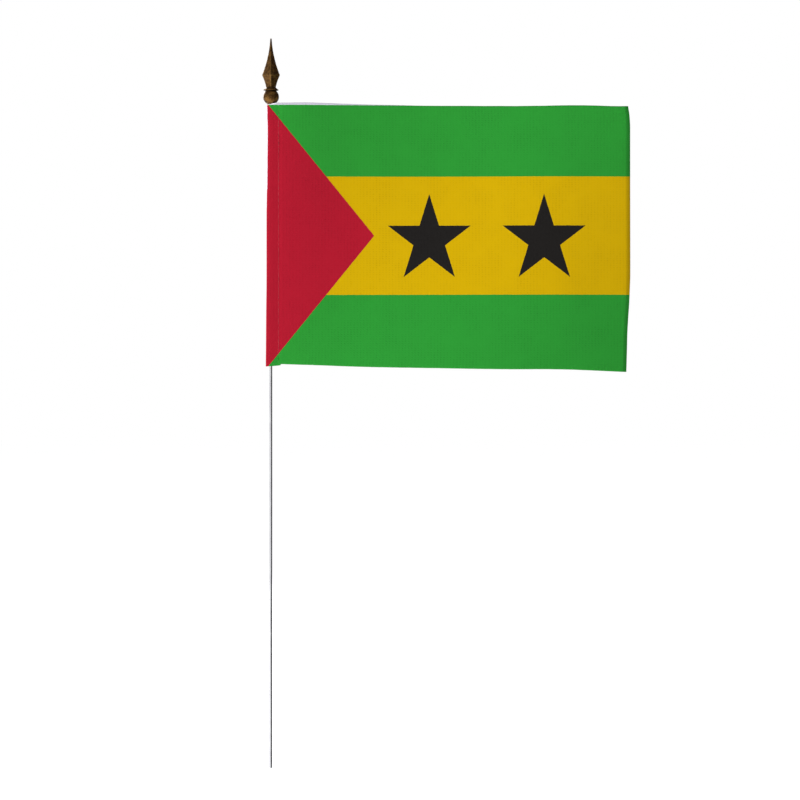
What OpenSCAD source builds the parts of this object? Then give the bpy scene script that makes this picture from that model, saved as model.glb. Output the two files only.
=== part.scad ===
// Table flag on a thin metal rod with a spear finial.
// Origin: centre of the rod's foot. +Z runs up the rod, +X from the rod towards the fly,
// and the flag's front looks towards -Y.

/* [Pole] */
// Diameter of the metal rod
pole_d = 1.7; // [1.5:0.1:2.0]
// Length of the rod, from its foot to its end inside the finial
pole_length = 386; // [382:0.5:386.5]
// Chamfer round the rod's foot
foot_chamfer = 0.5; // [0.2:0.1:0.6]
// Chamfer round the rod's hidden top end
top_chamfer = 0.2; // [0.1:0.05:0.3]

/* [Finial] */
// Height of the ball's centre above the rod's foot
ball_height = 381.4; // [381:0.1:382]
// Diameter of the ball
ball_d = 9; // [8:0.1:9.4]
// Diameter of the collar above the ball
collar_d = 8.4; // [7.6:0.1:9]
// Thickness of the collar's rim
rim_t = 0.6; // [0.4:0.1:0.8]
// Width of the spear's foot, corner to corner
neck_w = 5.6; // [5:0.1:6]
// Width of the spear at its widest, corner to corner
spear_w = 10.1; // [8:0.1:12]
// Height of the spear's widest point above the ball's centre
spear_shoulder = 12.3; // [11:0.1:14]
// Height of the tip above the ball's centre
spear_tip = 33.1; // [28:0.1:38]
// Width left at the blunt tip, corner to corner
tip_w = 0.8; // [0.4:0.1:1]
// Gap between the rod and the wall of the finial's hole
bore_gap = 0.03; // [0.02:0.01:0.06]
// Space left above the rod's end in the finial's hole
bore_end_gap = 0.3; // [0.1:0.1:0.8]

/* [Flag] */
// Thickness of the cloth
cloth_t = 0.3; // [0.2:0.05:0.4]
// Distance from the rod's axis to the fly edge
fly_x = 204; // [190:0.5:220]
// Height of the flag's lower edge where the panel leaves the sleeve
panel_low = 229.6; // [228:0.1:232]
// Height of the flag's top edge at the fly
panel_high = 376; // [375:0.1:377]
// How far the lower edge drops from the sleeve to the fly
bottom_drop = 4.3; // [0:0.1:6]
// How far the unprinted margin lifts the top edge near the hoist
top_rise = 2.9; // [2:0.1:2.9]
// Depth of the cloth's wave to either side
wave_depth = 4; // [0:0.5:6]
// Length of one whole wave
wave_length = 260; // [200:5:320]
// How far before the rod the wave starts
wave_start = 30; // [0:1:50]
// Distance over which the wave grows from nothing beside the sleeve
wave_fade = 25; // [15:1:40]

/* [Sleeve] */
// Gap between the rod and the cloth wrapped round it
sleeve_gap = 0.1; // [0.05:0.05:0.1]
// Distance from the rod's axis to the fold's inner curve
fold_x = 1.75; // [1.6:0.05:2.4]
// Inside radius of the fold
fold_r = 0.25; // [0.15:0.05:0.4]
// Distance from the rod's axis to where the two plies meet
ply_meet_x = 4; // [3.8:0.1:4.1]
// Distance from the rod's axis to the back ply's raw edge
raw_edge_x = 6; // [5.4:0.1:7]

/* [Seam] */
// Distance from the rod's axis to the row of stitches
seam_x = 4.4; // [4.3:0.1:5]
// Length of one stitch
stitch = 3.5; // [2:0.1:4]
// Diameter of the thread
thread_d = 0.2; // [0.1:0.05:0.3]
// Distance kept between the row's ends and the cloth's cut edges
seam_inset = 1.5; // [1:0.5:4]

/* [Hidden] */
$fn = 64;
pole_r = pole_d / 2;
ball_r = ball_d / 2;
collar_r = collar_d / 2;
bore_r = pole_r + bore_gap;
// heights above the rod's foot
rim_high = ball_height + 4.2;
rim_low = rim_high - rim_t;
neck_high = rim_high + 0.9;
groove_low = rim_low - 0.3;
spear_low = neck_high - 0.2;
shoulder_high = ball_height + spear_shoulder;
tip_high = ball_height + spear_tip;
// radius of the narrow groove between the collar and the ball
groove_r = 3.1;
// the collar's cone runs in just under the spear's corners
collar_top_r = neck_w / 2 - 0.15;
// straight pieces in each curve of the spear's outline
curve_steps = 9;
// the cloth wrapped round the rod
wrap_in = pole_r + sleeve_gap;
wrap_out = wrap_in + cloth_t;
panel_steps = 44;
// the flats leave each arc just inside its widest point
flat_bite = 0.99;
// the hollow closes to this half width a little before the plies meet
hollow_end = 0.03;
hollow_end_x = ply_meet_x - 0.3;
// the flat plies start this far inside the tube's walls
ply_lap = 0.6;
// the front outline of the cloth, in X and Z
sleeve_low = panel_low - 0.5;
fold_low = panel_low - 1.2;
sleeve_high = panel_high + 0.7;
fold_left = -fold_x - fold_r - cloth_t - 1;
outline = [
    [fold_left, fold_low],
    [raw_edge_x, sleeve_low],
    [raw_edge_x, panel_low],
    [57, panel_low - 0.4 * bottom_drop],
    [113, panel_low - 0.6 * bottom_drop],
    [170, panel_low - 0.7 * bottom_drop],
    [fly_x - 1.9, panel_low - bottom_drop],
    [fly_x - 1.5, panel_low + 9],
    [fly_x, panel_low + 45],
    [fly_x, panel_high - 12],
    [fly_x - 1.1, panel_high],
    [130, panel_high],
    [92, panel_high + 0.8],
    [52, panel_high + 1.3],
    [14, panel_high + 2.5],
    [4.2, panel_high + top_rise],
    [2.2, panel_high + 0.9],
    [1.2, sleeve_high],
    [fold_left, sleeve_high],
];
// the row of stitches
seam_low = sleeve_low + seam_inset;
stitches = floor((panel_high - seam_inset - seam_low) / stitch);
thread_tail = 0.01;

// a point of a cubic curve from a to d, pulled towards b and then towards c
function bend(a, b, c, d, t) = pow(1 - t, 3) * a + 3 * t * pow(1 - t, 2) * b
    + 3 * t * t * (1 - t) * c + pow(t, 3) * d;

// one side of the spear: half widths against height, from the neck to the tip
function lower_curve() = [for (i = [0:curve_steps])
    bend([neck_w / 2, spear_low + 0.7], [neck_w / 2 + 0.4, shoulder_high - 4.6],
         [spear_w / 2 - 1.1, shoulder_high - 2.4], [spear_w / 2, shoulder_high], i / curve_steps)];
function upper_curve() = [for (i = [1:curve_steps])
    bend([spear_w / 2, shoulder_high],
         [spear_w * 0.3, shoulder_high + 0.25 * (tip_high - shoulder_high)],
         [tip_w + 0.05, shoulder_high + 0.59 * (tip_high - shoulder_high)],
         [tip_w / 2, tip_high], i / curve_steps)];

// how far the wave carries the cloth backwards at a distance x from the rod
function fade(x) = 1 - exp(-max(0, x - raw_edge_x) / wave_fade);
function wave(x) = wave_depth * fade(x) * sin(360 * (x + wave_start) / wave_length);

// the outline of the spear as one flat plate, half widths turned from corners to sides
module spear_plate() {
    side = concat([[neck_w / 2, spear_low]], lower_curve(), upper_curve());
    right = [for (p = side) [p[0] / sqrt(2), p[1]]];
    left = [for (i = [len(right) - 1:-1:0]) [-right[i][0], right[i][1]]];
    rotate([90, 0, 0])
        linear_extrude(spear_w, center = true)
            polygon(concat(right, left));
}

// two outlines crossed at right angles leave a four-sided spear with hollow sides
module spear() {
    rotate([0, 0, 45])
        intersection() {
            spear_plate();
            rotate([0, 0, 90]) spear_plate();
        }
}

// the collar, with the narrow groove under it
module collar() {
    rotate_extrude()
        polygon([
            [0, ball_height],
            [groove_r, ball_height],
            [groove_r, groove_low],
            [collar_r - 0.15, rim_low],
            [collar_r, rim_low + 0.15],
            [collar_r, rim_high - 0.15],
            [collar_r - 0.15, rim_high],
            [collar_top_r, neck_high],
            [0, neck_high],
        ]);
}

// a length of cloth: a section seen from above, stood up over the cloth's whole height
module upright() {
    translate([0, 0, fold_low - bottom_drop - 5])
        linear_extrude(panel_high - fold_low + bottom_drop + 10)
            children();
}

// a flattened tube: an arc round the rod and one round the fold, joined by straight flats,
// with two more flats that close in on the point where the plies meet
module sleeve_tube(wrap_r, fold_end_r, meet_r, meet_x) {
    upright() circle(wrap_r);
    upright() translate([-fold_x, 0]) circle(fold_end_r);
    upright() flats(wrap_r, fold_end_r, -fold_x);
    upright() flats(wrap_r, meet_r, meet_x);
}

// the four-sided patch between half width near_r on the rod's axis and far_r at far_x
module flats(near_r, far_r, far_x) {
    polygon([
        [0, near_r * flat_bite],
        [far_x, far_r * flat_bite],
        [far_x, -far_r * flat_bite],
        [0, -near_r * flat_bite],
    ]);
}

// the front ply from the seam to the fly, seen from above
module panel_section() {
    length = fly_x + 1 - raw_edge_x;
    xs = [for (i = [0:panel_steps]) raw_edge_x + length * i / panel_steps];
    front = [for (x = xs) [x, wave(x) - cloth_t]];
    back = [for (i = [panel_steps:-1:0]) [xs[i], wave(xs[i])]];
    start = ply_meet_x - ply_lap;
    polygon(concat([[start, 0], [start, -cloth_t]], front, back));
}

// the back ply from the seam to its raw edge
module back_ply_section() {
    translate([ply_meet_x - ply_lap, -cloth_t / 2])
        square([raw_edge_x - ply_meet_x + ply_lap, 1.5 * cloth_t]);
}

// a comb: the thread lies along the cloth and dips into it at every stitch
module thread(side) {
    length = stitches * stitch;
    leg = thread_d * 1.2;
    translate([seam_x, 0, seam_low]) {
        translate([-thread_d / 2, side > 0 ? cloth_t : -cloth_t - thread_d, 0])
            cube([thread_d, thread_d, length + leg]);
        for (i = [0:stitches])
            translate([-thread_d / 2, side > 0 ? thread_tail : -cloth_t - thread_d / 2, i * stitch])
                cube([thread_d, cloth_t + thread_d / 2 - thread_tail, leg]);
    }
}

module pole() {
    color("silver")
        rotate_extrude()
            polygon([
                [0, 0],
                [pole_r - foot_chamfer, 0],
                [pole_r, foot_chamfer],
                [pole_r, pole_length - top_chamfer],
                [pole_r - top_chamfer, pole_length],
                [0, pole_length],
            ]);
}

module finial() {
    color([0.33, 0.22, 0.10])
        difference() {
            union() {
                translate([0, 0, ball_height]) sphere(ball_r);
                collar();
                spear();
            }
            translate([0, 0, ball_height - ball_r - 1])
                cylinder(r = bore_r, h = pole_length + bore_end_gap - ball_height + ball_r + 1);
        }
}

module flag_cloth() {
    color([0.19, 0.59, 0.22])
        intersection() {
            difference() {
                union() {
                    sleeve_tube(wrap_out, fold_r + cloth_t, cloth_t, ply_meet_x);
                    upright() back_ply_section();
                    upright() panel_section();
                }
                sleeve_tube(wrap_in, fold_r, hollow_end, hollow_end_x);
            }
            rotate([90, 0, 0])
                linear_extrude(40, center = true)
                    polygon(outline);
        }
}

module seam_needle_thread() {
    color([0.75, 0.20, 0.25]) thread(-1);
}

module seam_bobbin_thread() {
    color([0.70, 0.25, 0.28]) thread(1);
}

pole();
finial();
flag_cloth();
seam_needle_thread();
seam_bobbin_thread();
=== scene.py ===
"""Table flag on a thin metal rod with a spear finial: printed knitted cloth, its seam, rod and finial."""

import math

import bmesh
import bpy
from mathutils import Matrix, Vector, noise


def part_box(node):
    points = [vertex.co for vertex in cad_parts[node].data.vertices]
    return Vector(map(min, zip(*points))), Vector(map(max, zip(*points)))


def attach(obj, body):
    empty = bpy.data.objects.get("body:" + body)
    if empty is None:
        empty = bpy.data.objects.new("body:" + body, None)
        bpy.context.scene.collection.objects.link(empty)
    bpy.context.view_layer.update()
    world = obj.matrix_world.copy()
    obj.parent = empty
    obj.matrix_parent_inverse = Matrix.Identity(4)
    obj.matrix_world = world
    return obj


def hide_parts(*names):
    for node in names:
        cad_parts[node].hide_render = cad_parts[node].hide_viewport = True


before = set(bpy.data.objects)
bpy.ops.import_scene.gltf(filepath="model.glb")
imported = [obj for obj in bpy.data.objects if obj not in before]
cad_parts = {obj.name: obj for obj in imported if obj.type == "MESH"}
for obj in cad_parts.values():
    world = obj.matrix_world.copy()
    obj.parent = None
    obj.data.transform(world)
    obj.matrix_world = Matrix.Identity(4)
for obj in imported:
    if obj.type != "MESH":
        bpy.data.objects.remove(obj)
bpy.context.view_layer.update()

MM = 0.001
TURN = 2 * math.pi

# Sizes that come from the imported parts, in metres
POLE_LOW, POLE_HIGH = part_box("pole")
FINIAL_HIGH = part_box("finial")[1]
CLOTH_LOW, CLOTH_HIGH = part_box("flag_cloth")
NEEDLE_LOW, NEEDLE_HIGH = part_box("seam_needle_thread")
ROD_R = (POLE_HIGH.x - POLE_LOW.x) / 2
ROD_TOP = POLE_HIGH.z
SEAM_X = (NEEDLE_LOW.x + NEEDLE_HIGH.x) / 2
THREAD_D = NEEDLE_HIGH.x - NEEDLE_LOW.x
FLY_X = CLOTH_HIGH.x

# The cloth's section, seen from above: both plies meet a little in front of the rod's axis
CLOTH_T = 0.3 * MM
PLY_Y = 0.16 * MM                # from the seam's plane to the middle of each ply
SEAM_Y = -0.7 * MM
SLEEVE_GAP = 0.1 * MM            # between the rod and the cloth round it
WRAP_R = ROD_R + SLEEVE_GAP + CLOTH_T / 2
FOLD_R = 0.35 * MM               # the fold's own curve
FOLD_Y = -0.7 * MM
PLY_MEET_X = 4.0 * MM            # where the two plies come together
RAW_EDGE_X = 6.0 * MM            # where the folded-back ply ends
BACK_TOP = 376.7 * MM            # the folded-back ply stops short of the front one
BACK_SHORT = 0.1 * MM

# Where the sleeve's folded edge lies at each height: it leans out towards the bottom
FOLD_EDGE = [(mm_z * MM, mm_x * MM) for mm_z, mm_x in (
    (228, -2.94), (237, -2.85), (252, -2.75), (263, -2.64), (271, -2.52), (296, -2.49),
    (314, -2.47), (323, -2.38), (331, -2.24), (345, -2.1), (362, -1.95), (370, -2.2), (377, -2.38))]
# How far round the fold the unprinted cloth reaches: towards the top a thread of it shows
BARE_FOLD = [(315 * MM, 0), (334 * MM, 0.34 * MM), (352 * MM, 0.33 * MM), (377 * MM, 0.46 * MM)]

# Slopes of the panel in thousandths, across the flag at three heights. The fold that they make
# leans: its crest runs from the top right to the bottom left.
SLOPE_X = (6, 25, 40, 70, 100, 130, 160, 185, 204)
SLOPES = {
    230: (-24, -54, -50, -104, -99, -54, 36, 99, 100),
    303: (26, 66, 32, -3, -53, -64, -6, 76, 112),
    376: (75, 110, 105, 34, -20, -48, -36, -8, 42),
}
WAVE_FADE = 6 * MM               # past the raw edge, the slopes grow to their full size over this
FLY_CURL = 0.2 * MM              # how far the fly's cut edge curls back
FLY_CURL_REACH = 1.0 * MM
CREASE_DEPTH = 0.35 * MM         # small handling creases, strongest away from the seam
CREASE_LENGTH = 34 * MM
CREASE_FULL_X = 40 * MM
EDGE_RAGGED = 0.05 * MM          # how unevenly the top and bottom are cut
RAGGED_LENGTH = 3 * MM

# The front ply passes in front of the finial's ball. From the ball's surface to the middle of the
# ply, where the ply begins to fall back again, and how slowly it does
BALL_CLEARANCE = 0.28 * MM
BALL_EASE_X = 1.0 * MM
BALL_EASE = 7.0 * MM

# The seam
STITCH = 3.5 * MM
PUCKER = 0.07 * MM               # how far the stitches draw each ply in
PUCKER_REACH = 0.9 * MM
STITCH_ARCH = 0.4 * MM           # a stitch's curve rises half of this
STITCH_SUNK = 0.14 * MM          # its ends lie this deep in the cloth

# The finial, in heights above the ball's centre
BALL_Z = 381.4 * MM
BALL_R = 4.52 * MM
BORE_R = ROD_R + 0.03 * MM
BORE_TOP = ROD_TOP + 0.3 * MM
GROOVE_R = 3.05 * MM
RIM_R = 4.28 * MM
RIM_EDGE_R = 0.3 * MM
RIM_H = 3.9 * MM
NECK_R = 2.8 * MM
NECK_LOW_H = 5.1 * MM
NECK_HIGH_H = 5.6 * MM
SHOULDER_H = 12.3 * MM
SHOULDER_R = 5.05 * MM
TIP_H = FINIAL_HIGH.z - BALL_Z
TIP_R = 0.4 * MM
OFF_CENTRE = 0.12 * MM           # how far the casting stands to the right of its hole
SHARPNESS = 0.93                 # of the spear's four corners: 1 is sharp
SKIN_DEPTH = 0.07 * MM           # the casting's uneven skin
SKIN_LENGTH = 1.8 * MM

# The print, measured on the flat cloth: distance from the rod's axis, and height
BAND_MIDDLE = 302.53 * MM
BAND_HALF = 33.66 * MM
TRIANGLE_TIP = 58.79 * MM
TRIANGLE_SLOPE = 1.233           # half its height over its length
STARS_MIDDLE = 122.6 * MM
STARS_HALF_GAP = 32.57 * MM
STAR_CENTRE = 300.15 * MM
STAR_R = 24.8 * MM
STAR_STRETCH = 1.057             # the stars are printed a little taller than regular ones
PRINT_TOP = 376.86 * MM
BARE_SIDE = -20 * MM             # distances past half of this mark the bare ply behind the fold

# The camera's frame
FRAME_WIDTH = 454.4 * MM
FRAME_CENTRE = Vector((73.4 * MM, 0, 209.2 * MM))
LENS = 150
SENSOR = 36

# The studio: the floor's half width, brightness of the floor and the room, the point that the
# softboxes face, and each softbox's place, size and power in watts
FLOOR_HALF = 14.0
FLOOR_GLOW = 0.77
ROOM_LIGHT = 0.25
AIM = (0.08, 0, 0.28)
KEY_PLACE, KEY_SIZE, KEY_POWER = (-3.2, -1.44, 0.9), 1.5, 150.0
FILL_PLACE, FILL_SIZE, FILL_POWER = (-0.7, 1.5, 0.9), 1.0, 14.0
# Cards that only metal sees: their distance from the rod and their lowest edge, then each upright
# one's name, angles from the front in degrees, lower and upper edge, and brightness
CARD_R = 0.8
CARD_LOW = -0.4
UPRIGHT_CARDS = [
    ("white_card", (-178, 11), CARD_LOW, 0.3, 1.05),
    ("upper_card", (-140, -40), 0.6, 1.3, 0.44),
    ("dark_card", (13, 170), CARD_LOW, 1.2, 0.1),
]
UNDER_CARD_GLOW = 1.3


# ---------------------------------------------------------------- helpers

def linear(code):
    """An sRGB hex colour as linear RGBA."""
    values = [int(code[i:i + 2], 16) / 255 for i in (1, 3, 5)]
    return (*[v / 12.92 if v <= 0.04045 else ((v + 0.055) / 1.055) ** 2.4 for v in values], 1)


def add(tree, kind, inputs=None, **settings):
    """Adds a node: settings are its properties, inputs are values or sockets by name or number."""
    node = tree.nodes.new(kind)
    for name, value in settings.items():
        setattr(node, name, value)
    for key, value in (inputs or {}).items():
        if isinstance(value, bpy.types.NodeSocket):
            tree.links.new(value, node.inputs[key])
        else:
            node.inputs[key].default_value = value
    return node


def new_material(name):
    """A material with a Principled shader on it, and its node tree."""
    material = bpy.data.materials.new(name)
    material.use_nodes = True
    shader = material.node_tree.nodes["Principled BSDF"]
    return material, material.node_tree, shader


def new_object(name, mesh, *materials):
    """An object at the origin whose place is in its mesh."""
    for material in materials:
        mesh.materials.append(material)
    obj = bpy.data.objects.new(name, mesh)
    bpy.context.scene.collection.objects.link(obj)
    return obj


def smooth_step(low, high, value):
    """0 below low, 1 above high, and an S curve between."""
    t = min(1.0, max(0.0, (value - low) / (high - low)))
    return t * t * (3 - 2 * t)


def through(points, x):
    """The value at x of a smooth curve through a few points, level beyond its ends."""
    if x <= points[0][0]:
        return points[0][1]
    if x >= points[-1][0]:
        return points[-1][1]
    k = max(i for i in range(len(points) - 1) if points[i][0] <= x)

    def slope(i):
        (x0, v0), (x1, v1) = points[max(0, i - 1)], points[min(len(points) - 1, i + 1)]
        return (v1 - v0) / (x1 - x0)

    (x0, v0), (x1, v1) = points[k], points[k + 1]
    wide = x1 - x0
    t = (x - x0) / wide
    return ((1 + 2 * t) * (1 - t) ** 2 * v0 + t * (1 - t) ** 2 * wide * slope(k)
            + t * t * (3 - 2 * t) * v1 + t * t * (t - 1) * wide * slope(k + 1))


def bend(a, b, c, d, t):
    """A point of the cubic curve from a to d that is pulled towards b and then towards c."""
    return tuple((1 - t) ** 3 * p + 3 * t * (1 - t) ** 2 * q + 3 * t * t * (1 - t) * r + t ** 3 * u
                 for p, q, r, u in zip(a, b, c, d))


# ---------------------------------------------------------------- the print

def print_colour(tree, across, up, ink):
    """The flag's design as a colour socket. across and up are sockets in metres on the flat cloth,
    and ink holds the colours of its grounds by name."""
    folded = add(tree, "ShaderNodeMath", {0: up, 1: BAND_MIDDLE}, operation="SUBTRACT")
    off_middle = add(tree, "ShaderNodeMath", {0: folded.outputs[0]}, operation="ABSOLUTE")
    band = add(tree, "ShaderNodeMath", {0: off_middle.outputs[0], 1: BAND_HALF}, operation="LESS_THAN")
    stripes = add(tree, "ShaderNodeMix", {0: band.outputs[0], 6: ink["green"], 7: ink["yellow"]},
                  data_type="RGBA")

    # the triangle: its half height shrinks evenly from the hoist to its tip
    to_tip = add(tree, "ShaderNodeMath", {0: TRIANGLE_TIP, 1: across}, operation="SUBTRACT")
    half = add(tree, "ShaderNodeMath", {0: to_tip.outputs[0], 1: TRIANGLE_SLOPE}, operation="MULTIPLY")
    inside = add(tree, "ShaderNodeMath", {0: half.outputs[0], 1: off_middle.outputs[0]},
                 operation="GREATER_THAN")
    with_triangle = add(tree, "ShaderNodeMix",
                        {0: inside.outputs[0], 6: stripes.outputs[2], 7: ink["red"]}, data_type="RGBA")

    # both stars at once: the distance from the line half way between them folds one onto the other
    from_middle = add(tree, "ShaderNodeMath", {0: across, 1: STARS_MIDDLE}, operation="SUBTRACT")
    fold = add(tree, "ShaderNodeMath", {0: from_middle.outputs[0]}, operation="ABSOLUTE")
    star_x = add(tree, "ShaderNodeMath", {0: fold.outputs[0], 1: STARS_HALF_GAP}, operation="SUBTRACT")
    rise = add(tree, "ShaderNodeMath", {0: up, 1: STAR_CENTRE}, operation="SUBTRACT")
    star_z = add(tree, "ShaderNodeMath", {0: rise.outputs[0], 1: STAR_STRETCH}, operation="DIVIDE")
    point = add(tree, "ShaderNodeCombineXYZ", {0: star_x.outputs[0], 1: star_z.outputs[0]})
    # a five-pointed star is what lies on the inner side of at least four of its five lines
    sides_kept = None
    for k in range(5):
        angle = TURN / 4 + k * TURN / 5
        reach = add(tree, "ShaderNodeVectorMath",
                    {0: point.outputs[0], 1: (math.cos(angle), math.sin(angle), 0)},
                    operation="DOT_PRODUCT")
        kept = add(tree, "ShaderNodeMath",
                   {0: reach.outputs["Value"], 1: STAR_R * math.cos(TURN / 5)}, operation="LESS_THAN")
        if sides_kept is None:
            sides_kept = kept
        else:
            sides_kept = add(tree, "ShaderNodeMath", {0: sides_kept.outputs[0], 1: kept.outputs[0]},
                             operation="ADD")
    star = add(tree, "ShaderNodeMath", {0: sides_kept.outputs[0], 1: 3.5}, operation="GREATER_THAN")
    with_stars = add(tree, "ShaderNodeMix",
                     {0: star.outputs[0], 6: with_triangle.outputs[2], 7: ink["black"]},
                     data_type="RGBA")

    # the ink stops short of the top edge and at the fold, and leaves white cloth beyond
    above = add(tree, "ShaderNodeMath", {0: up, 1: PRINT_TOP}, operation="GREATER_THAN")
    behind = add(tree, "ShaderNodeMath", {0: across, 1: BARE_SIDE / 2}, operation="LESS_THAN")
    bare = add(tree, "ShaderNodeMath", {0: above.outputs[0], 1: behind.outputs[0]}, operation="MAXIMUM")
    return add(tree, "ShaderNodeMix",
               {0: bare.outputs[0], 6: with_stars.outputs[2], 7: ink["bare"]},
               data_type="RGBA").outputs[2]


INK = {
    "green": linear("#288C2F"),
    "yellow": linear("#C49F00"),
    "red": linear("#A41529"),
    "black": linear("#1E1C1B"),
    "bare": linear("#C9C5D6"),
}
# unprinted cloth all over
BARE_ONLY = dict.fromkeys(INK, INK["bare"])
# the reverse, where the ink has only soaked through: paler, with the cloth's white in it
INK_REVERSE = {
    "green": linear("#4E9A55"),
    "yellow": linear("#CBAF3C"),
    "red": linear("#B0424F"),
    "black": linear("#444141"),
    "bare": linear("#C9C5D6"),
}

# The tricot's loops are about 0.6 mm apart; they are drawn 1.82 by 1.31 mm so that they show
KNIT_ACROSS = 1.82 * MM
KNIT_UP = 1.31 * MM
# Ink creeps along the loops by up to half of INK_CREEP, over lengths of CREEP_LENGTH
INK_CREEP = 0.35 * MM
CREEP_LENGTH = 0.9 * MM
PATCH_LENGTH = 14 * MM
LOOP_LENGTH = 1.6 * MM
# How much brighter the print is painted where it lies double, for the light that the second ply sends
# back, and how softly that begins and ends
DOUBLED_PAINTED_GAIN = 0.035
DOUBLED_SOFT = 0.6 * MM


def knit_cloth(name, ink, hole_shade, bump_mm):
    """Warp-knitted polyester, transfer printed: a matt cloth with rows of tiny dark gaps between
    its loops, a soft sheen, and ink that follows the loops at the edge of each colour."""
    material, tree, shader = new_material(name)
    flat = add(tree, "ShaderNodeUVMap", uv_map="flat")
    # each printed edge wanders by about a tenth of a millimetre
    creep = add(tree, "ShaderNodeTexNoise", {"Vector": flat.outputs[0], "Scale": 1 / CREEP_LENGTH,
                                            "Detail": 2.0}, noise_dimensions="2D")
    centred = add(tree, "ShaderNodeVectorMath", {0: creep.outputs["Color"], 1: (0.5, 0.5, 0.5)},
                  operation="SUBTRACT")
    scaled = add(tree, "ShaderNodeVectorMath", {0: centred.outputs[0], "Scale": INK_CREEP},
                 operation="SCALE")
    place = add(tree, "ShaderNodeVectorMath", {0: flat.outputs[0], 1: scaled.outputs[0]},
                operation="ADD")
    split = add(tree, "ShaderNodeSeparateXYZ", {0: place.outputs[0]})
    printed = print_colour(tree, split.outputs[0], split.outputs[1], ink)

    # gaps between the loops, on a grid of wales and courses
    grid = add(tree, "ShaderNodeSeparateXYZ", {0: flat.outputs[0]})
    wales = add(tree, "ShaderNodeMath", {0: grid.outputs[0], 1: TURN / KNIT_ACROSS},
                operation="MULTIPLY")
    courses = add(tree, "ShaderNodeMath", {0: grid.outputs[1], 1: TURN / KNIT_UP},
                  operation="MULTIPLY")
    wale_wave = add(tree, "ShaderNodeMath", {0: wales.outputs[0]}, operation="COSINE")
    course_wave = add(tree, "ShaderNodeMath", {0: courses.outputs[0]}, operation="COSINE")
    wale_gap = add(tree, "ShaderNodeMapRange", {0: wale_wave.outputs[0], 1: -0.2, 2: 1.0})
    course_gap = add(tree, "ShaderNodeMapRange", {0: course_wave.outputs[0], 1: -0.6, 2: 1.0})
    gap = add(tree, "ShaderNodeMath", {0: wale_gap.outputs[0], 1: course_gap.outputs[0]},
              operation="MULTIPLY")
    # the gaps open and close over patches of a few centimetres, and single loops differ
    patches = add(tree, "ShaderNodeTexNoise", {"Vector": flat.outputs[0], "Scale": 1 / PATCH_LENGTH,
                                              "Detail": 3.0}, noise_dimensions="2D")
    loops = add(tree, "ShaderNodeTexNoise", {"Vector": flat.outputs[0], "Scale": 1 / LOOP_LENGTH,
                                            "Detail": 1.0}, noise_dimensions="2D")
    patch_share = add(tree, "ShaderNodeMapRange", {0: patches.outputs[0], 1: 0.3, 2: 0.7,
                                                  3: 0.35, 4: 1.3})
    loop_share = add(tree, "ShaderNodeMapRange", {0: loops.outputs[0], 1: 0.3, 2: 0.7,
                                                 3: 0.4, 4: 1.4})
    share = add(tree, "ShaderNodeMath", {0: patch_share.outputs[0], 1: loop_share.outputs[0]},
                operation="MULTIPLY")
    uneven = add(tree, "ShaderNodeMath", {0: gap.outputs[0], 1: share.outputs[0]},
                 operation="MULTIPLY")
    dark = add(tree, "ShaderNodeMath", {0: uneven.outputs[0], 1: hole_shade}, operation="MULTIPLY")
    # faint uneven dyeing over centimetres
    dye = add(tree, "ShaderNodeMapRange", {0: patches.outputs[0], 1: 0.25, 2: 0.75,
                                          3: 1.012, 4: 0.982})
    # painted brightening: where the seam holds the second ply close behind, less light is lost through
    # the cloth, so the print is painted brighter there
    close = add(tree, "ShaderNodeMapRange", {0: grid.outputs[0], 1: PLY_MEET_X - DOUBLED_SOFT,
                                            2: PLY_MEET_X}, interpolation_type="SMOOTHSTEP")
    past = add(tree, "ShaderNodeMapRange", {0: grid.outputs[0], 1: RAW_EDGE_X,
                                           2: RAW_EDGE_X + DOUBLED_SOFT, 3: 1.0, 4: 0.0},
               interpolation_type="SMOOTHSTEP")
    doubled = add(tree, "ShaderNodeMath", {0: close.outputs[0], 1: past.outputs[0]},
                  operation="MULTIPLY")
    dye_and_painted_brightening = add(tree, "ShaderNodeMath", {0: doubled.outputs[0], 1: DOUBLED_PAINTED_GAIN,
                                         2: dye.outputs[0]}, operation="MULTIPLY_ADD")
    keep = add(tree, "ShaderNodeMath", {0: dye_and_painted_brightening.outputs[0], 1: dark.outputs[0]},
               operation="SUBTRACT")
    shaded = add(tree, "ShaderNodeVectorMath", {0: printed, "Scale": keep.outputs[0]},
                 operation="SCALE")
    tree.links.new(shaded.outputs[0], shader.inputs["Base Color"])

    raised = add(tree, "ShaderNodeMath", {0: 1.0, 1: uneven.outputs[0]}, operation="SUBTRACT")
    relief = add(tree, "ShaderNodeBump", {"Height": raised.outputs[0], "Distance": bump_mm * MM,
                                         "Strength": 0.6})
    tree.links.new(relief.outputs[0], shader.inputs["Normal"])
    rough = add(tree, "ShaderNodeMapRange", {0: loops.outputs[0], 1: 0.3, 2: 0.7,
                                            3: 0.72, 4: 0.86})
    tree.links.new(rough.outputs[0], shader.inputs["Roughness"])
    shader.inputs["Specular IOR Level"].default_value = 0.08
    shader.inputs["Sheen Weight"].default_value = 0.02
    shader.inputs["Sheen Roughness"].default_value = 0.4
    return material


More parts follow.
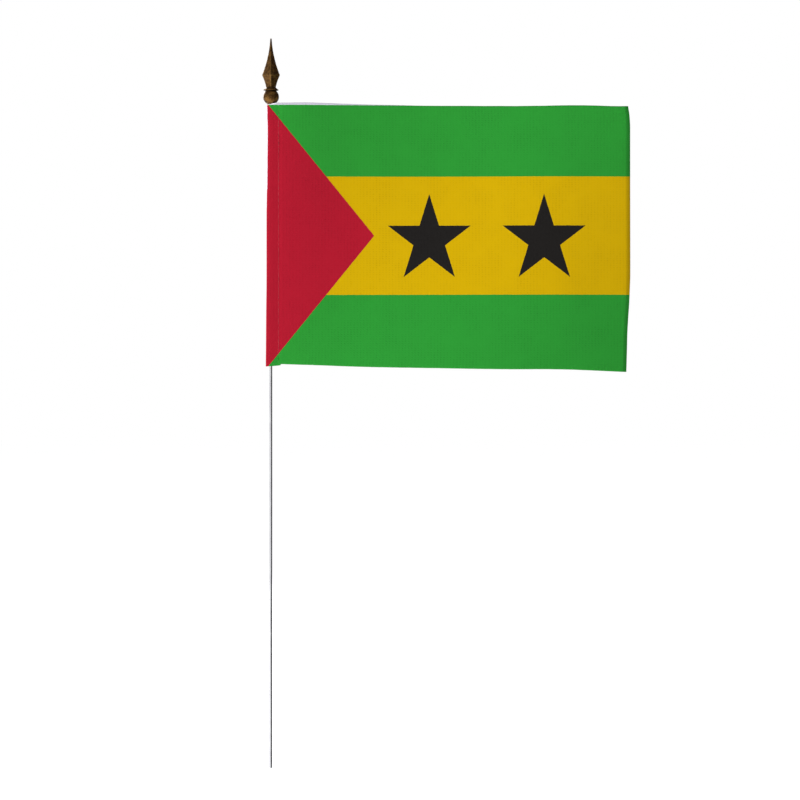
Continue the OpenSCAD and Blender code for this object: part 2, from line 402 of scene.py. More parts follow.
def cut_edge():
    """The cut edge of the cloth: white yarn ends that the ink has only tinted, slightly fuzzy."""
    material, tree, shader = new_material("cloth_cut_edge")
    place = add(tree, "ShaderNodeTexCoord")
    yarns = add(tree, "ShaderNodeTexNoise", {"Vector": place.outputs["Object"],
                                            "Scale": 1 / (0.5 * MM), "Detail": 2.0})
    split = add(tree, "ShaderNodeSeparateXYZ", {0: place.outputs["Object"]})
    tint = print_colour(tree, split.outputs[0], split.outputs[2], INK_REVERSE)
    share = add(tree, "ShaderNodeMapRange", {0: yarns.outputs[0], 1: 0.3, 2: 0.7, 3: 0.05, 4: 0.5})
    colour = add(tree, "ShaderNodeMix", {0: share.outputs[0], 6: tint, 7: linear("#E6E0D8")},
                 data_type="RGBA")
    tree.links.new(colour.outputs[2], shader.inputs["Base Color"])
    relief = add(tree, "ShaderNodeBump", {"Height": yarns.outputs[0], "Distance": 0.05 * MM})
    tree.links.new(relief.outputs[0], shader.inputs["Normal"])
    shader.inputs["Roughness"].default_value = 0.9
    return material


# ---------------------------------------------------------------- the cloth

def stand_off_rows():
    """The slopes summed up across the flag: for each height, how far the panel stands behind the
    seam at every half millimetre from the raw edge."""
    step = 0.5 * MM
    rows = {}
    for height, slopes in SLOPES.items():
        points = [(x * MM, slope * 0.001) for x, slope in zip(SLOPE_X, slopes)]
        total, row = 0.0, [0.0]
        for i in range(int((FLY_X - RAW_EDGE_X) / step) + 4):
            x = RAW_EDGE_X + step * (i + 0.5)
            total += step * through(points, x) * (1 - math.exp((RAW_EDGE_X - x) / WAVE_FADE))
            row.append(total)
        rows[height * MM] = row
    return step, rows


STEP, STAND_OFF = stand_off_rows()


def wave(x, z):
    """How far the panel stands behind the seam's plane at a distance x and height z."""
    place = max(0.0, (x - RAW_EDGE_X) / STEP)
    k = int(place)
    low, middle, high = STAND_OFF
    value = 0.0
    for own, others in ((low, (middle, high)), (middle, (low, high)), (high, (low, middle))):
        row = STAND_OFF[own]
        here = row[k] + (row[k + 1] - row[k]) * (place - k)
        for other in others:
            here *= (z - other) / (own - other)
        value += here
    # the creases are longer up the flag than across it
    loose = smooth_step(RAW_EDGE_X, CREASE_FULL_X, x)
    crease = noise.noise(Vector((x, 3.0, z * 0.6)) / CREASE_LENGTH) * CREASE_DEPTH
    curl = FLY_CURL * math.exp(-max(0.0, FLY_X - x) / FLY_CURL_REACH)
    return value + crease * loose + curl


def edge_line(*points):
    """Turns (x, z) pairs in millimetres into metres."""
    return [(x * MM, z * MM) for x, z in points]


TOP_EDGE = edge_line(
    (-2.8, 377.1), (-0.15, 377.05), (1, 377.35), (2.1, 377.55), (3.25, 377.75), (4.4, 377.75),
    (6.4, 377.85), (16, 378.17), (24, 378.15), (31, 377.95),
    (42, 377.66), (54, 377.3), (66, 377.15), (76, 376.96), (85, 376.76), (99, 376.68), (113, 376.6),
    (127, 376.5), (142, 376.4), (156, 376.53), (170, 376.75), (184, 376.62), (198, 376.2),
    (204, 376.3))
BOTTOM_SLEEVE = edge_line((-2.8, 228.22), (-1.3, 228.33), (-0.3, 228.42), (2, 228.52), (4.8, 228.8),
                          (6, 228.9))
# from where to where the lower edge steps up
STEP_X = (RAW_EDGE_X - 0.6 * MM, RAW_EDGE_X - 0.15 * MM)
BOTTOM_PANEL = edge_line(
    (6, 229.55), (17, 229.22), (28, 228.87), (42.4, 228.31), (56.6, 227.88), (71, 227.6),
    (85, 227.36), (99, 227.14), (113, 226.85), (128, 226.66), (142, 226.53), (156, 226.6),
    (170, 226.42), (184, 225.89), (198.6, 225.24), (202, 225.08))
FLY_EDGE = edge_line(
    (225.3, 201.45), (239, 201.95), (247, 202.2), (256, 202.77), (264, 203.35), (273, 203.8),
    (281, 204.1), (361, 204.25), (366, 204.2), (372, 203.75), (376, 203.1))


def top_edge(x):
    """Height of the front ply's top edge: it rises beside the ball and sinks towards the fly."""
    return through(TOP_EDGE, x)


def bottom_edge(x):
    """Height of the front ply's lower edge: a small step near the raw edge, then an uneven fall."""
    step = smooth_step(*STEP_X, x)
    sleeve, panel = through(BOTTOM_SLEEVE, x), through(BOTTOM_PANEL, x)
    return sleeve + (panel - sleeve) * step


def half_section(fold_x, fold_y, ply_y):
    """Half the sleeve's section, from the fold's outermost point round the rod to the raw edge, as
    if it were the front half. fold_x, fold_y is the middle of the fold's curve, and ply_y is where
    the half's flat part lies."""
    steps = 7
    tilt = (math.acos((WRAP_R - FOLD_R) / math.hypot(fold_x, fold_y))
            + math.atan2(-fold_y, -fold_x))
    line = [(fold_x - FOLD_R * math.cos(tilt * i / steps),
             fold_y - FOLD_R * math.sin(tilt * i / steps)) for i in range(steps + 1)]
    # the straight to the seam leaves the curve round the rod where it only just touches it
    leave = (math.atan2(ply_y, PLY_MEET_X) + TURN / 2
             - math.acos(WRAP_R / math.hypot(PLY_MEET_X, ply_y)))
    line += [(-WRAP_R * math.cos(a), -WRAP_R * math.sin(a))
             for a in (tilt + (leave - tilt) * i / steps for i in range(steps + 1))]
    return line + [(PLY_MEET_X, ply_y), (RAW_EDGE_X, ply_y)]


def sleeve_path(fold_x):
    """The middle of the cloth from the back ply's raw edge round the fold to the front ply's seam,
    as (x, y, distance from the fold) with the back ply's distances negative."""
    front = half_section(fold_x, FOLD_Y, SEAM_Y - PLY_Y)
    behind = [(x, -y) for x, y in half_section(fold_x, -FOLD_Y, -SEAM_Y - PLY_Y)]
    whole = [Vector(p) for p in behind[:0:-1] + front]
    lengths = [0.0]
    for a, b in zip(whole, whole[1:]):
        lengths.append(lengths[-1] + (b - a).length)
    fold_at = lengths[len(behind) - 1]
    # even steps along the path, then a light smoothing that rounds the last corners
    count = 74
    even = []
    for i in range(count + 1):
        target = lengths[-1] * i / count
        k = max(j for j in range(len(whole) - 1) if lengths[j] <= target + 1e-12)
        part = (target - lengths[k]) / (lengths[k + 1] - lengths[k])
        even.append(whole[k].lerp(whole[k + 1], part))
    for _ in range(3):
        even = [even[0]] + [a * 0.25 + b * 0.5 + c * 0.25
                            for a, b, c in zip(even, even[1:], even[2:])] + [even[-1]]
    return [(p.x, p.y, lengths[-1] * i / count - fold_at) for i, p in enumerate(even)]


def clear_of_ball(x, y, z):
    """Moves a point of the front ply forward until it passes in front of the finial's ball. To the
    left it hugs the ball, and to the right it falls back slowly."""
    rise = z - BALL_Z
    keep = BALL_R + BALL_CLEARANCE
    if abs(rise) >= keep:
        return y
    reach = math.sqrt(keep * keep - rise * rise)
    if x < 0:
        return min(y, -math.sqrt(reach * reach - x * x)) if -x < reach else y
    fall = math.exp(-(max(0.0, x - BALL_EASE_X) / BALL_EASE) ** 2)
    return y - max(0.0, reach + y) * fall


def make_cloth():
    """One sheet: the folded-back ply, the sleeve round the rod, and the panel out to the fly."""
    rows = 210
    panel_columns = 96
    mesh = bmesh.new()
    flat = mesh.loops.layers.uv.new("flat")
    grid = []
    for j in range(rows + 1):
        v = j / rows
        z_row = CLOTH_LOW.z + v * (PRINT_TOP - CLOTH_LOW.z)
        outer = through(FOLD_EDGE, z_row)
        line = []
        for x, y, along in sleeve_path(outer + CLOTH_T / 2 + FOLD_R):
            back = along < 0
            low = bottom_edge(x) + (BACK_SHORT if back else 0)
            high = min(top_edge(x), BACK_TOP) if back else top_edge(x)
            z = low + v * (high - low)
            # the stitches draw the two plies together
            pinch = math.exp(-((x - SEAM_X) / PUCKER_REACH) ** 2)
            hole = 0.5 + 0.5 * math.cos(TURN * (z - NEEDLE_LOW.z) / STITCH)
            y += PUCKER * pinch * hole * (-1 if back else 1)
            if not back:
                y = clear_of_ball(x, y, z)
            across = x if along > FOLD_R else outer + along
            bare = along < through(BARE_FOLD, z)
            line.append((Vector((x, y, z)), (BARE_SIDE + along if bare else across, z)))
        for i in range(1, panel_columns + 1):
            # the columns stand closer near the seam
            u = (i / panel_columns) ** 1.25
            x_guess = RAW_EDGE_X + u * (FLY_X - RAW_EDGE_X)
            low, high = bottom_edge(x_guess), top_edge(x_guess)
            z = low + v * (high - low)
            x = RAW_EDGE_X + u * (through(FLY_EDGE, z) - RAW_EDGE_X)
            # the cut edges are never quite straight
            ragged = EDGE_RAGGED * noise.noise(Vector((x, 0, z)) / RAGGED_LENGTH)
            edge = smooth_step(0.97, 1.0, abs(2 * v - 1))
            y = clear_of_ball(x, SEAM_Y - PLY_Y, z) + wave(x, z)
            line.append((Vector((x, y, z + ragged * edge)), (x, z)))
        grid.append(line)
    verts = [[mesh.verts.new(p) for p, _ in line] for line in grid]
    for j in range(rows):
        for i in range(len(grid[0]) - 1):
            corners = [(j, i), (j, i + 1), (j + 1, i + 1), (j + 1, i)]
            face = mesh.faces.new([verts[a][b] for a, b in corners])
            face.smooth = True
            for loop, (a, b) in zip(face.loops, corners):
                loop[flat].uv = grid[a][b][1]
    data = bpy.data.meshes.new("flag")
    mesh.to_mesh(data)
    mesh.free()
    face_side = knit_cloth("cloth_printed_face", INK, 0.13, 0.05)
    reverse_side = knit_cloth("cloth_reverse", INK_REVERSE, 0.16, 0.07)
    obj = new_object("flag", data, face_side, reverse_side, cut_edge())
    thick = obj.modifiers.new("thickness", "SOLIDIFY")
    thick.thickness = CLOTH_T
    thick.offset = 0
    thick.use_even_offset = True
    thick.material_offset = 1
    thick.material_offset_rim = 2
    return obj


# ---------------------------------------------------------------- the seam

def clear_thread(name, beneath):
    """Clear nylon monofilament: a strand with a faint gloss that takes the colour of the cloth
    beneath it. beneath holds the colours of that cloth's grounds."""
    material, tree, shader = new_material(name)
    place = add(tree, "ShaderNodeTexCoord")
    split = add(tree, "ShaderNodeSeparateXYZ", {0: place.outputs["Object"]})
    under = print_colour(tree, split.outputs[0], split.outputs[2], beneath)
    streak = add(tree, "ShaderNodeTexNoise", {"Vector": place.outputs["Object"],
                                             "Scale": 1 / (0.8 * MM)})
    share = add(tree, "ShaderNodeMapRange", {0: streak.outputs[0], 1: 0.3, 2: 0.7, 3: 0.0, 4: 0.08})
    colour = add(tree, "ShaderNodeMix", {0: share.outputs[0], 6: under, 7: linear("#F2ECEA")},
                 data_type="RGBA")
    tree.links.new(colour.outputs[2], shader.inputs["Base Color"])
    shader.inputs["Roughness"].default_value = 0.3
    shader.inputs["IOR"].default_value = 1.53
    shader.inputs["Specular IOR Level"].default_value = 0.12
    return material


def stitch_tree():
    """Geometry nodes for one row of stitches: a low arch of thread, repeated up the seam."""
    tree = bpy.data.node_groups.new("stitch_row", "GeometryNodeTree")
    for name, kind in (("Stitches", "NodeSocketInt"), ("Stitch length", "NodeSocketFloat"),
                       ("Thread radius", "NodeSocketFloat"), ("Arch", "NodeSocketFloat"),
                       ("First hole", "NodeSocketVector"), ("Seed", "NodeSocketInt"),
                       ("Thread", "NodeSocketMaterial")):
        tree.interface.new_socket(name, in_out="INPUT", socket_type=kind)
    tree.interface.new_socket("Geometry", in_out="OUTPUT", socket_type="NodeSocketGeometry")
    given = add(tree, "NodeGroupInput")
    length = given.outputs["Stitch length"]
    step = add(tree, "ShaderNodeCombineXYZ", {2: length})
    holes = add(tree, "GeometryNodeMeshLine", {"Count": given.outputs["Stitches"],
                                              "Start Location": given.outputs["First hole"],
                                              "Offset": step.outputs[0]})
    half = add(tree, "ShaderNodeMath", {0: length, 1: 0.5}, operation="MULTIPLY")
    crown = add(tree, "ShaderNodeCombineXYZ", {1: given.outputs["Arch"], 2: half.outputs[0]})
    arch = add(tree, "GeometryNodeCurveQuadraticBezier",
               {"Resolution": 10, "Start": (0, 0, 0), "Middle": crown.outputs[0],
                "End": step.outputs[0]})
    section = add(tree, "GeometryNodeCurvePrimitiveCircle",
                  {"Resolution": 8, "Radius": given.outputs["Thread radius"]})
    strand = add(tree, "GeometryNodeCurveToMesh",
                 {"Curve": arch.outputs[0], "Profile Curve": section.outputs[0], "Fill Caps": True})
    # no two stitches are pulled quite alike
    slant = add(tree, "FunctionNodeRandomValue",
                {"Min": (-0.03, -0.035, 0.0), "Max": (0.03, 0.035, 0.0),
                 "Seed": given.outputs["Seed"]}, data_type="FLOAT_VECTOR")
    row = add(tree, "GeometryNodeInstanceOnPoints",
              {"Points": holes.outputs[0], "Instance": strand.outputs[0],
               "Rotation": slant.outputs[0]})
    real = add(tree, "GeometryNodeRealizeInstances", {0: row.outputs[0]})
    smooth = add(tree, "GeometryNodeSetShadeSmooth", {0: real.outputs[0]})
    painted = add(tree, "GeometryNodeSetMaterial", {0: smooth.outputs[0],
                                                    "Material": given.outputs["Thread"]})
    add(tree, "NodeGroupOutput", {0: painted.outputs[0]})
    return tree


def stitch_row(name, tree, side, thread):
    """One side's stitches as a plain mesh. side is -1 in front and 1 behind."""
    holder = new_object(name + "_maker", bpy.data.meshes.new(name + "_maker"))
    modifier = holder.modifiers.new("stitches", "NODES")
    modifier.node_group = tree
    surface = SEAM_Y + side * (PLY_Y + CLOTH_T / 2)
    values = {
        "Stitches": round((NEEDLE_HIGH.z - NEEDLE_LOW.z) / STITCH),
        "Stitch length": STITCH,
        "Thread radius": THREAD_D / 2,
        "Arch": side * STITCH_ARCH,
        "First hole": (SEAM_X, surface - side * STITCH_SUNK, NEEDLE_LOW.z),
        "Seed": 4 + side,
        "Thread": thread,
    }
    for item in tree.interface.items_tree:
        if item.item_type == "SOCKET" and item.in_out == "INPUT":
            modifier[item.identifier] = values[item.name]
    made = holder.evaluated_get(bpy.context.evaluated_depsgraph_get())
    mesh = bpy.data.meshes.new_from_object(made)
    bpy.data.objects.remove(holder)
    mesh.name = name
    return new_object(name, mesh)


# ---------------------------------------------------------------- the rod

def drawn_rod():
    """Nickel-plated steel wire, die drawn: bright, with fine lines along it and soft uneven
    patches that break up its reflection."""
    material, tree, shader = new_material("nickel_plated_wire")
    place = add(tree, "ShaderNodeTexCoord")
    # die lines: thin across the rod, long along it
    stretched = add(tree, "ShaderNodeMapping", {0: place.outputs["Object"], 3: (1, 1, 0.02)})
    lines = add(tree, "ShaderNodeTexNoise", {"Vector": stretched.outputs[0],
                                            "Scale": 1 / (0.12 * MM), "Detail": 3.0})
    patched = add(tree, "ShaderNodeMapping", {0: place.outputs["Object"], 3: (1, 1, 0.35)})
    patches = add(tree, "ShaderNodeTexNoise", {"Vector": patched.outputs[0],
                                              "Scale": 1 / (2.2 * MM), "Detail": 2.0})
    tint = add(tree, "ShaderNodeMapRange", {0: patches.outputs[0], 1: 0.3, 2: 0.7})
    colour = add(tree, "ShaderNodeMix", {0: tint.outputs[0], 6: linear("#CFCED4"),
                                        7: linear("#E4E5E8")}, data_type="RGBA")
    tree.links.new(colour.outputs[2], shader.inputs["Base Color"])
    rough = add(tree, "ShaderNodeMapRange", {0: lines.outputs[0], 1: 0.3, 2: 0.7, 3: 0.14, 4: 0.3})
    tree.links.new(rough.outputs[0], shader.inputs["Roughness"])
    fine = add(tree, "ShaderNodeBump", {"Height": lines.outputs[0], "Distance": 0.004 * MM})
    broad = add(tree, "ShaderNodeBump", {"Height": patches.outputs[0], "Distance": 0.008 * MM,
                                        "Normal": fine.outputs[0]})
    tree.links.new(broad.outputs[0], shader.inputs["Normal"])
    shader.inputs["Metallic"].default_value = 1.0
    return material


def lathe(name, rings, segments, radius_at):
    """A closed turned shape. rings are (radius, height) from one end on the axis to the other, and
    radius_at(radius, height, angle) may shape each ring."""
    mesh = bmesh.new()
    ends = [mesh.verts.new((0, 0, rings[0][1])), mesh.verts.new((0, 0, rings[-1][1]))]
    loops = []
    for radius, height in rings[1:-1]:
        angles = [TURN * k / segments for k in range(segments)]
        shaped = [(radius_at(radius, height, a), a) for a in angles]
        loops.append([mesh.verts.new((r * math.cos(a), r * math.sin(a), height)) for r, a in shaped])
    for low, high in zip(loops, loops[1:]):
        for k in range(segments):
            n = (k + 1) % segments
            mesh.faces.new([low[k], low[n], high[n], high[k]])
    for k in range(segments):
        n = (k + 1) % segments
        mesh.faces.new([ends[0], loops[0][n], loops[0][k]])
        mesh.faces.new([ends[1], loops[-1][k], loops[-1][n]])
    bmesh.ops.recalc_face_normals(mesh, faces=mesh.faces)
    data = bpy.data.meshes.new(name)
    mesh.to_mesh(data)
    mesh.free()
    data.polygons.foreach_set("use_smooth", [True] * len(data.polygons))
    return data


def make_rod():
    """The rod, with a rounded chamfer at its foot, a small flat and the soft waviness of wire."""
    flat_r, chamfer, pitch, steps = 0.38 * MM, 0.5 * MM, 1.5 * MM, 6
    top_chamfer = 0.2 * MM
    waviness, wave_length = 0.004 * MM, 9 * MM
    rings = [(0, POLE_LOW.z), (flat_r, POLE_LOW.z)]
    for i in range(1, steps + 1):
        t = i / steps
        rings.append((flat_r + (ROD_R - flat_r) * math.sin(t * TURN / 4) ** 0.9,
                      POLE_LOW.z + chamfer * (1 - math.cos(t * TURN / 4))))
    count = round((ROD_TOP - POLE_LOW.z - chamfer) / pitch)
    length = ROD_TOP - top_chamfer - POLE_LOW.z - chamfer
    rings += [(ROD_R, POLE_LOW.z + chamfer + length * i / count) for i in range(1, count + 1)]
    rings += [(ROD_R - top_chamfer, ROD_TOP), (0, ROD_TOP)]

    def wiry(radius, height, angle):
        sway = noise.noise(Vector((math.cos(angle), math.sin(angle), height / wave_length)))
        return radius - waviness * (1 + sway)

    return new_object("rod", lathe("rod", rings, 40, wiry), drawn_rod())


# ---------------------------------------------------------------- the finial

def antique_bronze():
    """Antique bronze lacquer over a cast shape: dark brown patina, wiped back to warm bronze on
    the ridges and rims, blotched over a millimetre or two, half glossy."""
    material, tree, shader = new_material("antique_bronze_lacquer")
    place = add(tree, "ShaderNodeTexCoord")
    worn = add(tree, "ShaderNodeAttribute", attribute_name="worn")
    painted_shade = add(tree, "ShaderNodeAttribute", attribute_name="painted_shade")
    blotches = add(tree, "ShaderNodeTexNoise", {"Vector": place.outputs["Object"],
                                               "Scale": 1 / (2.4 * MM), "Detail": 4.0,
                                               "Roughness": 0.6})
    specks = add(tree, "ShaderNodeTexNoise", {"Vector": place.outputs["Object"],
                                             "Scale": 1 / (0.5 * MM), "Detail": 2.0})
    wiped = add(tree, "ShaderNodeMapRange", {0: blotches.outputs[0], 1: 0.36, 2: 0.66})
    ground = add(tree, "ShaderNodeMix", {0: wiped.outputs[0], 6: linear("#4A2F16"),
                                        7: linear("#8A6431")}, data_type="RGBA")
    speck = add(tree, "ShaderNodeMapRange", {0: specks.outputs[0], 1: 0.35, 2: 0.65})
    grain = add(tree, "ShaderNodeMapRange", {0: speck.outputs[0], 3: 0.8, 4: 1.15})
    mottled = add(tree, "ShaderNodeVectorMath", {0: ground.outputs[2], "Scale": grain.outputs[0]},
                  operation="SCALE")
    rub = add(tree, "ShaderNodeMath", {0: worn.outputs["Fac"], 1: speck.outputs[0]},
              operation="MULTIPLY")
    rubbed = add(tree, "ShaderNodeMix", {0: rub.outputs[0], 6: mottled.outputs[0],
                                        7: linear("#B08A50")}, data_type="RGBA")
    # painted shade: near black in the groove under the rim and at the neck above it
    with_painted_shade = add(tree, "ShaderNodeMix", {0: painted_shade.outputs["Fac"], 6: rubbed.outputs[2],
                                        7: linear("#1E140C")}, data_type="RGBA")
    tree.links.new(with_painted_shade.outputs[2], shader.inputs["Base Color"])
    rough = add(tree, "ShaderNodeMapRange", {0: blotches.outputs[0], 1: 0.3, 2: 0.7,
                                            3: 0.42, 4: 0.3})
    tree.links.new(rough.outputs[0], shader.inputs["Roughness"])
    relief = add(tree, "ShaderNodeBump", {"Height": specks.outputs[0], "Distance": 0.06 * MM,
                                         "Strength": 0.7})
    tree.links.new(relief.outputs[0], shader.inputs["Normal"])
    shader.inputs["Metallic"].default_value = 0.85
    return material


def finial_rings():
    """The finial's half outline as (half width, height, squareness), from the tip down to the
    ball's underside and up the blind hole. squareness is 1 on the spear and 0 where it is round."""
    upper_steps, lower_steps, cone_steps, rim_steps, ball_steps = 44, 24, 4, 8, 36
    rise = TIP_H - SHOULDER_H
    # the spear is hollow above its shoulder and flares below it
    upper_pulls = ((3.03 * MM, SHOULDER_H + 0.25 * rise), (0.85 * MM, SHOULDER_H + 0.59 * rise))
    lower_pulls = ((NECK_R + 0.4 * MM, SHOULDER_H - 4.6 * MM),
                   (SHOULDER_R - 1.1 * MM, SHOULDER_H - 2.4 * MM))
    upper = [(*bend((SHOULDER_R, SHOULDER_H), *upper_pulls, (TIP_R, TIP_H), i / upper_steps), 1.0)
             for i in range(upper_steps, -1, -1)]
    lower = [(*bend((NECK_R, NECK_HIGH_H), *lower_pulls, (SHOULDER_R, SHOULDER_H),
                    i / lower_steps), 1.0) for i in range(lower_steps - 1, -1, -1)]
    # square turns to round, then a low cone spreads to the collar's rim
    foot = [(NECK_R + 0.02 * MM, NECK_LOW_H + 0.25 * MM, 0.75), (NECK_R + 0.1 * MM, NECK_LOW_H, 0.25)]
    cone_r, cone_spread = NECK_R + 0.22 * MM, 0.85 * MM
    cone_high, cone_low = NECK_LOW_H - 0.15 * MM, RIM_H + RIM_EDGE_R
    cone = [(cone_r + cone_spread * i / cone_steps,
             cone_high - (cone_high - cone_low) * i / cone_steps, 0.0)
            for i in range(cone_steps + 1)]
    rim = [(RIM_R - RIM_EDGE_R + RIM_EDGE_R * math.cos(a), RIM_H + RIM_EDGE_R * math.sin(a), 0.0)
           for a in (TURN / 4 * (1 - 2 * i / rim_steps) for i in range(1, rim_steps + 1))]
    groove = [(RIM_R - 0.75 * MM, RIM_H - 0.42 * MM, 0.0), (GROOVE_R, RIM_H - 0.55 * MM, 0.0)]
    start = math.acos(GROOVE_R / BALL_R)
    end = -math.acos(BORE_R / BALL_R)
    ball = [(BALL_R * math.cos(a), BALL_R * math.sin(a), 0.0)
            for a in (start + (end - start) * i / ball_steps for i in range(1, ball_steps + 1))]
    hole = [(BORE_R, BALL_R * math.sin(end) + 0.8 * MM, 0.0), (BORE_R, BORE_TOP - BALL_Z, 0.0)]
    return upper + lower + foot + cone + rim + groove + ball + hole


def make_finial():
    """Spear, collar and ball as one casting, with softened ridges and a slightly uneven skin."""
    profile = finial_rings()
    square_at = {h: s for _, h, s in profile}
    rings = [(0, TIP_H)] + [(w, h) for w, h, _ in profile] + [(0, profile[-1][1])]

    def cast(radius, height, angle):
        square = square_at.get(height, 0)
        if radius <= BORE_R * 1.001 and square == 0:
            # the hole stays truly round
            return radius
        # the power 1 gives sharp corners on the X and Y axes, 2 gives a circle
        power = 2 - SHARPNESS * square
        shape = (abs(math.cos(angle)) ** power + abs(math.sin(angle)) ** power) ** (-1 / power)
        at = Vector((radius * math.cos(angle), radius * math.sin(angle), height))
        # the skin is smoother where the casting is thin
        uneven = SKIN_DEPTH * noise.noise(at / SKIN_LENGTH) * min(1.0, radius / (2 * MM))
        return radius * shape + uneven

    mesh = lathe("finial_casting", rings, 72, cast)
    worn = mesh.attributes.new("worn", "FLOAT", "POINT")
    painted_shade = mesh.attributes.new("painted_shade", "FLOAT", "POINT")
    for i, vertex in enumerate(mesh.vertices):
        x, y, h = vertex.co
        reach = math.hypot(x, y)
        # rubbed bright along the ridges, round the shoulder and on the rim
        corner = max(abs(x), abs(y)) / reach if reach > 0.05 * MM else 0
        on_spear = smooth_step(NECK_LOW_H, NECK_HIGH_H, h)
        ridge = smooth_step(0.985, 0.9995, corner) * on_spear
        shoulder = math.exp(-((h - SHOULDER_H) / (0.5 * MM)) ** 2)
        rim = math.exp(-((h - RIM_H) / (0.25 * MM)) ** 2) * smooth_step(3.8 * MM, 4.1 * MM, reach)
        worn.data[i].value = min(1.0, ridge * 0.7 + shoulder * 0.35 + rim * 0.1)
        # painted shade: darker just below the rim, in its groove, and less so just above it
        under_rim = math.exp(-((h - (RIM_H - 0.6 * MM)) / (0.35 * MM)) ** 2)
        over_rim = math.exp(-((h - (NECK_LOW_H - 0.1 * MM)) / (0.6 * MM)) ** 2)
        painted_shade.data[i].value = min(1.0, 0.9 * under_rim + 0.5 * over_rim)
        # the hole is drilled a little off the casting's centre, and stays on the rod
        in_hole = reach < BORE_R * 1.05 and h < BORE_TOP - BALL_Z + 0.1 * MM
        if not in_hole:
            vertex.co.x += OFF_CENTRE
        vertex.co.z = h + BALL_Z
    return new_object("finial_casting", mesh, antique_bronze())


# ---------------------------------------------------------------- the studio

def make_camera():
    """A long lens, level and square to the flag."""
    data = bpy.data.cameras.new("camera")
    data.lens = LENS
    data.sensor_width = SENSOR
    camera = bpy.data.objects.new("camera", data)
    bpy.context.scene.collection.objects.link(camera)
    distance = LENS * FRAME_WIDTH / SENSOR
    camera.location = FRAME_CENTRE + Vector((0, -distance, 0))
    camera.rotation_euler = (math.radians(90), 0, 0)
    bpy.context.scene.camera = camera


def make_floor():
    """A plain white floor, lit evenly from inside like a light table, that runs far enough back to
    meet the white surroundings. Metal sees the cards through it, so the rod keeps a dark side."""
    corners = [(x * FLOOR_HALF, y * FLOOR_HALF, 0) for x, y in ((-1, -1), (1, -1), (1, 1), (-1, 1))]
    mesh = bpy.data.meshes.new("floor")
    mesh.from_pydata(corners, [], [(0, 1, 2, 3)])
    material, tree, shader = new_material("pale_paper")
    place = add(tree, "ShaderNodeTexCoord")
    fibres = add(tree, "ShaderNodeTexNoise", {"Vector": place.outputs["Object"], "Scale": 40.0,
                                             "Detail": 3.0})
    shade = add(tree, "ShaderNodeMix", {0: fibres.outputs[0], 6: linear("#F3F3F4"),
                                       7: linear("#F7F7F7")}, data_type="RGBA")
    tree.links.new(shade.outputs[2], shader.inputs["Base Color"])
    shader.inputs["Roughness"].default_value = 0.95
    shader.inputs["Specular IOR Level"].default_value = 0.1
    shader.inputs["Emission Color"].default_value = linear("#FFFFFF")
    shader.inputs["Emission Strength"].default_value = FLOOR_GLOW
    floor = new_object("floor", mesh, material)
    floor.visible_glossy = False


def softbox(name, place, size, power):
    """A square area light that faces the flag's middle and stays out of every view."""
    data = bpy.data.lights.new(name, "AREA")
    data.size = size
    data.energy = power
    light = bpy.data.objects.new(name, data)
    light.location = place
    light.rotation_euler = (Vector(AIM) - Vector(place)).to_track_quat("-Z", "Y").to_euler()
    light.visible_camera = False
    bpy.context.scene.collection.objects.link(light)
    return light


def card(name, angles, low, high, glow):
    """An upright curved card round the rod that only reflections see. angles run from the front,
    positive to the right, in degrees; glow is its brightness."""
    steps = 24
    lines = [math.radians(angles[0] + (angles[1] - angles[0]) * i / steps) for i in range(steps + 1)]
    corners = [(CARD_R * math.sin(a), -CARD_R * math.cos(a), z) for a in lines for z in (low, high)]
    faces = [(2 * i, 2 * i + 2, 2 * i + 3, 2 * i + 1) for i in range(steps)]
    glowing_card(name, corners, faces, glow)


def under_card():
    """A level card that closes the upright ones below, for the undersides of rounded metal."""
    steps = 48
    corners = [(CARD_R * math.cos(TURN * i / steps), CARD_R * math.sin(TURN * i / steps), CARD_LOW)
               for i in range(steps)]
    glowing_card("under_card", corners, [tuple(range(steps))], UNDER_CARD_GLOW)


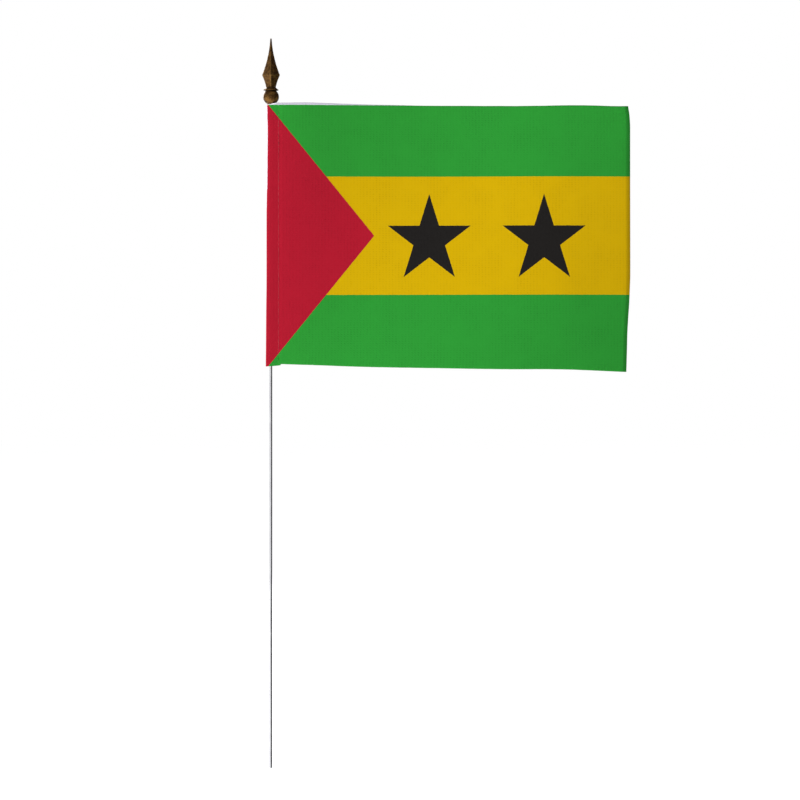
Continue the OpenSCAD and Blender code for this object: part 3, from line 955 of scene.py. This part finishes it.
def glowing_card(name, corners, faces, glow):
    """A card that gives its own light to reflections and to nothing else."""
    mesh = bpy.data.meshes.new(name)
    mesh.from_pydata(corners, [], faces)
    material, _, shader = new_material(name)
    shader.inputs["Base Color"].default_value = linear("#000000")
    shader.inputs["Specular IOR Level"].default_value = 0.0
    shader.inputs["Emission Color"].default_value = linear("#FFFFFF")
    shader.inputs["Emission Strength"].default_value = glow
    obj = new_object(name, mesh, material)
    for kind in ("camera", "diffuse", "transmission", "volume_scatter", "shadow"):
        setattr(obj, "visible_" + kind, False)


def make_light():
    """Dim surroundings with a large softbox on the left and a weak one behind. The large one is
    hidden from reflections: instead metal sees a white card round its left with a dimmer one
    above, a dark card round its right, and a white one below."""
    world = bpy.data.worlds.new("studio")
    bpy.context.scene.world = world
    world.use_nodes = True
    tree = world.node_tree
    background = tree.nodes["Background"]
    background.inputs["Color"].default_value = (1.0, 1.0, 1.0, 1)
    background.inputs["Strength"].default_value = ROOM_LIGHT
    # the backdrop itself is lit to white
    backdrop = add(tree, "ShaderNodeBackground", {"Color": (1.0, 1.0, 1.0, 1), "Strength": 1.0})
    seen = add(tree, "ShaderNodeLightPath")
    both = add(tree, "ShaderNodeMixShader", {0: seen.outputs["Is Camera Ray"],
                                            1: background.outputs[0], 2: backdrop.outputs[0]})
    tree.links.new(both.outputs[0], tree.nodes["World Output"].inputs["Surface"])
    key = softbox("key", KEY_PLACE, KEY_SIZE, KEY_POWER)
    key.visible_glossy = False
    softbox("back_fill", FILL_PLACE, FILL_SIZE, FILL_POWER)
    for upright in UPRIGHT_CARDS:
        card(*upright)
    under_card()
    bpy.context.scene.view_settings.view_transform = "Standard"


# ---------------------------------------------------------------- assembly

make_camera()

flag = make_cloth()
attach(flag, "flag")
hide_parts("flag_cloth")

row = stitch_tree()
needle = stitch_row("needle_stitches", row, -1, clear_thread("clear_nylon_on_print", INK))
bobbin = stitch_row("bobbin_stitches", row, 1, clear_thread("clear_nylon_on_bare_cloth", BARE_ONLY))
for stitches, node in ((needle, "seam_needle_thread"), (bobbin, "seam_bobbin_thread")):
    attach(stitches, "flag")
    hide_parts(node)

rod = make_rod()
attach(rod, "pole")
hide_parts("pole")

finial = make_finial()
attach(finial, "finial")
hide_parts("finial")

make_floor()
make_light()
